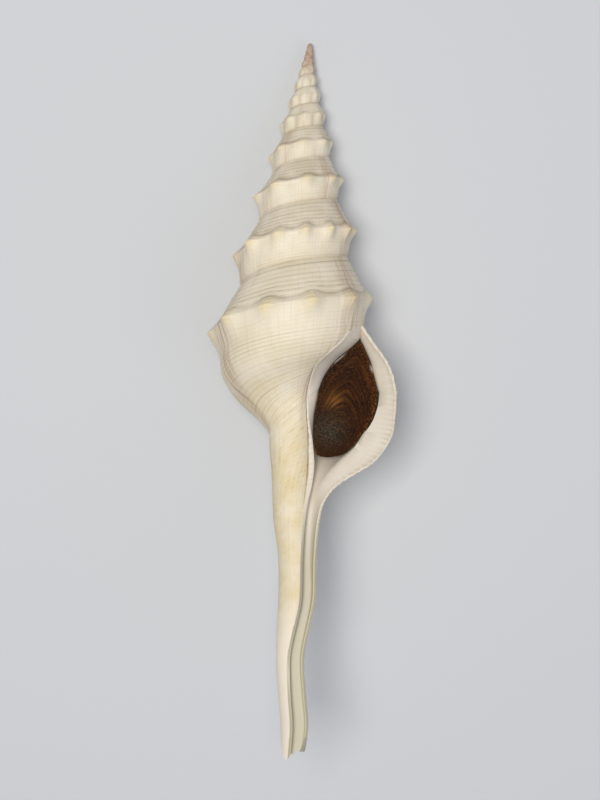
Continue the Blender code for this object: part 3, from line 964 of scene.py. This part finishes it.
def colour_it(tree, shader, read, base, layers):
    """Gives the shader a colour with others laid over it, each where its value and noise say."""
    colour = paint(base)
    for code, value, noise, (low, high), most in layers:
        spread = add_node(
            tree,
            "ShaderNodeMapRange",
            inputs={"Value": noise, "From Min": low, "From Max": high, "To Max": most},
        ).outputs["Result"]
        if value:
            spread = add_node(
                tree,
                "ShaderNodeMath",
                {"operation": "MULTIPLY"},
                {0: spread, 1: read[value]["Fac"]},
            ).outputs[0]
        colour = add_node(
            tree, "ShaderNodeMix", {"data_type": "RGBA"}, {0: spread, 6: colour, 7: paint(code)}
        ).outputs[2]
    tree.links.new(colour, shader.inputs["Base Color"])


print("ivory in linear numbers:", [round(v, 3) for v in paint("#EFE3C8")])

# %% [markdown]
# ## The chalky outer layer
#
# The outside of the shell is aragonite, a form of lime, grown in thin layers and a little
# weathered, almost without gloss. It is warm ivory with soft patches, tan stain and painted shade
# in the grooves, painted shade on the ramps and at the sutures, egg yellow on the knobs and down
# the canal, and rosy at the tip, with fine growth lines.

# %% Chalky aragonite
# The sizes of its patterns in millimetres, and how strongly it bends light
PATCH = 9.0
STREAK = 0.9
MOTTLE = 1.6
GRAIN = 0.25
ARAGONITE_IOR = 1.53

chalk, tree, shader, read, noises = new_material(
    "aragonite_chalky_grown", 0.55, ARAGONITE_IOR, 0.35,
    ("groove_stain_and_shade", "knob", "suture", "ramp", "halt", "tip", "yolk", "rosy", "around"),
    (
        (None, 1 / (PATCH * MM), 3.0, 0.6),
        ("around", 1 / STREAK, 4.0, 0.65),
        (None, 1 / (GRAIN * MM), 2.0, 0.5),
        (None, 1 / (MOTTLE * MM), 2.0, 0.5),
    ),
)
patches, streaks, grain, mottle = noises
colour_it(tree, shader, read, "#F2E8D3", (
    ("#EADFC4", None, patches, (0.42, 0.68), 0.8),
    ("#DDCDA9", None, streaks, (0.50, 0.72), 0.35),
    ("#E6D196", "yolk", patches, (0.30, 0.75), 0.75),
    ("#F4E9D8", "rosy", patches, (0.0, 0.3), 0.8),
    # Painted shade on the ramps
    ("#C6B8A4", "ramp", patches, (0.2, 0.6), 0.45),
    ("#EFDDAE", "knob", grain, (0.0, 0.4), 0.8),
    ("#B3A288", "suture", patches, (0.2, 0.5), 0.4),
    ("#AE8E74", "halt", streaks, (0.40, 0.60), 0.7),
    # Tan stain and painted shade in the grooves; painted shade in furrow, crease and first ribs
    ("#8F7C5C", "groove_stain_and_shade", patches, (0.2, 0.55), 0.85),
    ("#BCA08A", "tip", grain, (0.1, 0.5), 0.7),
    ("#BB8A72", "tip", mottle, (0.48, 0.62), 0.6),
))
print("growth lines about every", STREAK / 2, "mm")

# %% [markdown]
# Only the finest relief is left to the material: growth lines a few hundredths of a millimetre
# high, and grain.

# %% Chalky aragonite: its surface
height = 0.0
for noise, part in ((streaks, 0.7), (grain, 0.3)):
    height = add_node(
        tree, "ShaderNodeMath", {"operation": "MULTIPLY_ADD"}, {0: noise, 1: part, 2: height}
    ).outputs[0]
bump = add_node(
    tree, "ShaderNodeBump", inputs={"Strength": 0.7, "Distance": 0.3 * MM, "Height": height}
)
tree.links.new(bump.outputs["Normal"], shader.inputs["Normal"])
print("outer layer ready")

# %% [markdown]
# ## The glaze
#
# The inside is the same lime laid down smooth, like porcelain. It is cooler and greyer than the
# outside, with a breath of pink deep in the aperture and a soft shine.

# %% Porcelain glaze
CLOUD = 6.0

glaze, tree, shader, read, noises = new_material(
    "aragonite_porcelain_glaze_grown", 0.4, ARAGONITE_IOR, 0.4, ("sunk", "channel", "ray"),
    ((None, 1 / (CLOUD * MM), 3.0, 0.5),),
)
colour_it(tree, shader, read, "#ECE5D8", (
    ("#E1D6C4", None, noises[0], (0.0, 1.0), 1.0),
    ("#B9AC94", None, read["ray"]["Fac"], (0.0, 1.0), 0.3),
    ("#EBE0D4", None, read["sunk"]["Fac"], (0.02, 0.15), 0.3),
    ("#B5AE93", None, read["channel"]["Fac"], (0.0, 1.0), 0.85),
))
shell.data.materials.append(chalk)
shell.data.materials.append(glaze)
print("glaze ready")

# %% [markdown]
# ## The operculum
#
# The brown plate is the snail's door. It is horn, made in thin layers round a point near its
# lower end, so its growth lines are its own outline drawn smaller and smaller towards that
# point. We loft it the same way: rings that shrink towards the point, with a small ridge for
# each layer, and a plain back that is a little smaller, so the edge is thin.
#
# It is amber in the middle with a painted sheen on it, has a painted grey sheen over the old
# part and lighter horn along the right edge, and carries a painted highlight along its upper edge
# and a pale spot on its right edge.

# %% The operculum's shape
OPERCULUM_EDGE = (
    (19.4, 97.8), (15.3, 101.4), (11, 106), (7.7, 114.5), (6.95, 124), (7.4, 131.2),
    (8.6, 133.1), (12.1, 133.4), (16.6, 132), (20.4, 127.6), (24, 121.9), (25.6, 115.7),
    (25.1, 110.9), (23.65, 106), (21.5, 100.6),
)
OPERCULUM_THICKNESS = 1.2
OPERCULUM_DISH = 0.8
OPERCULUM_BACK = 0.96
OPERCULUM_FRONT = 2.5
OPERCULUM_SLANT = 0.16
NUCLEUS = (12.6, 130.2)
EDGE_POINTS = 180
RINGS = 150
SMALLEST_RING = 0.02
LAYERS_OF_HORN = 30
RIDGE = 0.025
RIDGE_ROUNDING = 0.6
# Young layers were rounder: how much faster a long side shrinks, and how far points are evened
LONG_SIDE_HASTE = 0.8
EVENING = 18


def closed_curve(knots, count):
    """This many points along a smooth closed curve through the knots."""
    around = range(-2, len(knots) + 3)
    at = np.arange(count) * len(knots) / count
    sides = [smooth([(i, knots[i % len(knots)][side]) for i in around], at) for side in (0, 1)]
    return np.stack(sides, axis=-1)


edge = closed_curve(OPERCULUM_EDGE, EDGE_POINTS)
middle = edge.mean(axis=0)
reach = np.linalg.norm(edge - middle, axis=1)


def plate_place(flat, lift):
    """A point of the plate from its place across the aperture and its lift inwards."""
    front = -OPERCULUM_FRONT - OPERCULUM_SLANT * (flat[..., 0] - OPERCULUM_EDGE[3][0])
    return np.stack([flat[..., 0], front + lift, -flat[..., 1]], axis=-1)


def dish(flat):
    """How far the plate is dished at a place: most in its middle and nothing at its edge."""
    toward = np.arctan2(*(flat - middle).T)
    order = np.argsort(np.arctan2(*(edge - middle).T))
    bearing = np.arctan2(*(edge - middle).T)[order]
    full = np.interp(toward, bearing, reach[order], period=math.tau)
    share = np.linalg.norm(flat - middle, axis=1) / full
    return OPERCULUM_DISH * (1 - np.clip(share, 0, 1) ** 2)


def outline_then(share):
    """The plate's outline when it was this share of its present size."""
    away = edge - np.array(NUCLEUS)
    far = np.linalg.norm(away, axis=1)
    evened = np.mean([np.roll(far, k) for k in range(-EVENING, EVENING + 1)], axis=0)
    size = far * share + evened * (1 - share)
    size = size * share ** (1 + LONG_SIDE_HASTE * far / far.max())
    return np.array(NUCLEUS) + away / far[:, None] * size[:, None]


print("operculum, mm long:", round(float(np.ptp(edge[:, 1])), 1))

# %% The operculum's mesh
rings, flats, layers, plate_faces = [], [], [], []
count = EDGE_POINTS
for number in range(RINGS):
    share = 1 - (1 - SMALLEST_RING) * number / (RINGS - 1)
    flat = outline_then(share)
    layer = LAYERS_OF_HORN * (1 - share)
    wave = np.abs(np.sin(math.pi * layer)) ** RIDGE_ROUNDING
    wave = wave * (0.5 + scramble(np.floor(layer)))
    rings.append(plate_place(flat, dish(flat) - RIDGE * wave * ease(1 - share, 0.0, 0.02)))
    flats.append(flat)
    layers.append(np.full(count, layer))
flats.append(np.array([NUCLEUS]))
rings.append(plate_place(flats[-1], dish(flats[-1])))
layers.append([LAYERS_OF_HORN])
flats.append(middle + (edge - middle) * OPERCULUM_BACK)
rings.append(plate_place(flats[-1], np.full(count, OPERCULUM_THICKNESS)))
layers.append(np.zeros(count))
nucleus = RINGS * count
back = nucleus + 1
for k in range(count):
    after = (k + 1) % count
    for r in range(RINGS - 1):
        a, b = r * count, (r + 1) * count
        plate_faces.append([b + k, a + k, a + after, b + after])
    last = (RINGS - 1) * count
    plate_faces.append([nucleus, last + k, last + after])
    plate_faces.append([k, back + k, back + after, after])
plate_faces.append([back + k for k in reversed(range(count))])
operculum = mesh_object("horn_operculum", np.concatenate(rings), plate_faces)
flats, layers = np.concatenate(flats), np.concatenate(layers)
toward = (flats - NUCLEUS) / np.maximum(np.linalg.norm(flats - NUCLEUS, axis=1), 1e-6)[:, None]
write_down(operculum.data, {"layer": np.column_stack([layers, toward])}, "FLOAT_VECTOR")

# Where its colours are: the middle of each and how far it reaches, in millimetres. The amber
# and grey places carry painted sheen, and the upper pale place a painted highlight.
amber_and_sheen, grey_sheen, right, upper_highlight, side_spot = [
    bell(np.linalg.norm(flats - centre, axis=1), reaches)
    for centre, reaches in (
        ((12.6, 116.0), 2.7), ((11.0, 125.2), 4.8), ((22.5, 122.0), 8.0),
        ((13.3, 102.8), 1.8), ((24.3, 105.6), 0.9),
    )
]
# How many layers in from the edge the light rim, the painted highlight and the pale spot reach
rim, thin_highlight, broad_spot = [np.exp(-layers / deep) for deep in (2.0, 0.12, 0.6)]
# A painted highlight along the upper edge, and a pale spot on the right edge
highlight_and_spot_mask = np.clip(2 * (thin_highlight * upper_highlight + broad_spot * side_spot), 0, 1)
rim = rim * (0.25 + 0.75 * right)
write_down(operculum.data, {"amber_and_sheen": amber_and_sheen, "grey_sheen": grey_sheen, "rim": rim, "highlight_and_spot": highlight_and_spot_mask})
print("operculum:", len(operculum.data.polygons), "faces")

# %% [markdown]
# ## Horn
#
# Horn is a protein, grown in layers like a fingernail. Dry, it is nearly black where it is
# thick and orange-brown where light gets into it, with fibres along the layers.

# %% Dark horn
FIBRES_PER_LAYER = 1.4
BLOTCH = 5.0
SPECK = 0.6

horn, tree, shader, read, noises = new_material(
    "horn_dark_brown_grown", 0.6, 1.54, 0.05, ("amber_and_sheen", "grey_sheen", "rim", "highlight_and_spot", "layer"),
    (
        ("layer", FIBRES_PER_LAYER, 4.0, 0.7),
        (None, 1 / (BLOTCH * MM), 3.0, 0.5),
        (None, 1 / (SPECK * MM), 2.0, 0.5),
    ),
)
fibres, blotches, specks = noises
colour_it(tree, shader, read, "#271207", (
    ("#5C3614", None, fibres, (0.46, 0.70), 0.6),
    ("#160B05", None, blotches, (0.50, 0.72), 0.7),
    # Amber horn with a painted sheen on it, then a painted grey sheen over the old part
    ("#8A5C28", "amber_and_sheen", fibres, (0.36, 0.64), 0.9),
    ("#45463A", "grey_sheen", specks, (0.30, 0.65), 0.8),
    ("#A06A2C", "rim", specks, (0.48, 0.66), 0.8),
    ("#6E4019", None, specks, (0.56, 0.76), 0.4),
    # A painted highlight along the upper edge, and a pale spot on the right edge
    ("#E6DDCB", "highlight_and_spot", specks, (0.15, 0.35), 0.9),
))
bump = add_node(
    tree, "ShaderNodeBump", inputs={"Strength": 0.5, "Distance": 0.08 * MM, "Height": fibres}
)
tree.links.new(bump.outputs["Normal"], shader.inputs["Normal"])
operculum.data.materials.append(horn)
print("horn ready")

# %% [markdown]
# ## Fitting them to the frame
#
# Both pieces stand for their CAD solids, and nothing moves, so both ride on the one body.

# %% Fit both pieces to the frame
for piece, node, slot in (
    (shell, "shell", "shell"),
    (operculum, "operculum", "operculum"),
):
    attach(piece, "root")
    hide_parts(node)
print("pieces on the frame:", shell.name, operculum.name)

# %% [markdown]
# ## Floor, light and camera
#
# The floor is plain and pale. One soft light hangs almost overhead, a little to the upper left,
# and a weak one on the right keeps the shadows open. The camera's place was worked out with the
# shell standing, and is laid down with it.

# %% Floor
FLOOR_SIZE = 4.0
corner = FLOOR_SIZE / 2
ground = bpy.data.meshes.new("floor")
ground.from_pydata(
    [(-corner, -corner, 0), (corner, -corner, 0), (corner, corner, 0), (-corner, corner, 0)],
    [],
    [(0, 1, 2, 3)],
)
floor = bpy.data.objects.new("floor", ground)
bpy.context.scene.collection.objects.link(floor)
card, _, shader, *_ = new_material("card_matt_uncoated", 0.9, 1.5, 0.5)
shader.inputs["Base Color"].default_value = paint("#D3D6DA")
ground.materials.append(card)
print("floor, m:", FLOOR_SIZE)

# %% Light
def soft_light(name, place, width, power, colour):
    """A square light that faces the shell."""
    lamp = bpy.data.lights.new(name, "AREA")
    lamp.shape = "SQUARE"
    lamp.size = width
    lamp.energy = power
    lamp.color = paint(colour)[:3]
    thing = bpy.data.objects.new(name, lamp)
    thing.location = place
    thing.rotation_euler = (-Vector(place)).to_track_quat("-Z", "Y").to_euler()
    bpy.context.scene.collection.objects.link(thing)


soft_light("window", (-0.14, 0.12, 1.0), 0.4, 7.0, "#FFFAF2")
soft_light("fill", (0.6, -0.3, 0.8), 0.8, 1.3, "#E6E4F6")
world = bpy.data.worlds.new("room")
world.use_nodes = True
world.node_tree.nodes["Background"].inputs["Color"].default_value = paint("#DDE2EA")
world.node_tree.nodes["Background"].inputs["Strength"].default_value = 0.36
bpy.context.scene.world = world
bpy.context.scene.view_settings.view_transform = "Standard"

# %% Camera
CAMERA_DISTANCE = 492.0
CAMERA_SIDE = 2.12
PIVOT = np.array((0.0, 0.0, -116.0))
TIP_AWAY = math.radians(7.27)
ROLL = math.radians(2.56)

ca, sa, cb, sb = math.cos(TIP_AWAY), math.sin(TIP_AWAY), math.cos(ROLL), math.sin(ROLL)
forward = np.array((0.0, ca, sa))
right = np.array((cb, -sa * sb, ca * sb))
up = np.array((-sb, -sa * cb, ca * cb))
stands = PIVOT + CAMERA_SIDE * right - CAMERA_DISTANCE * forward

lens = bpy.data.cameras.new("camera")
lens.sensor_fit = "VERTICAL"
lens.sensor_height = 36.0
lens.lens = 72.0
lens.clip_start = 0.01
camera = bpy.data.objects.new("camera", lens)
axes = Matrix([right, up, -forward]).transposed()
turned_axes = (turned @ rolled).to_3x3() @ axes
camera.matrix_world = Matrix.Translation(lay(stands)) @ turned_axes.to_4x4()
bpy.context.scene.collection.objects.link(camera)
bpy.context.scene.camera = camera
print("camera at, m:", [round(v, 3) for v in camera.location])
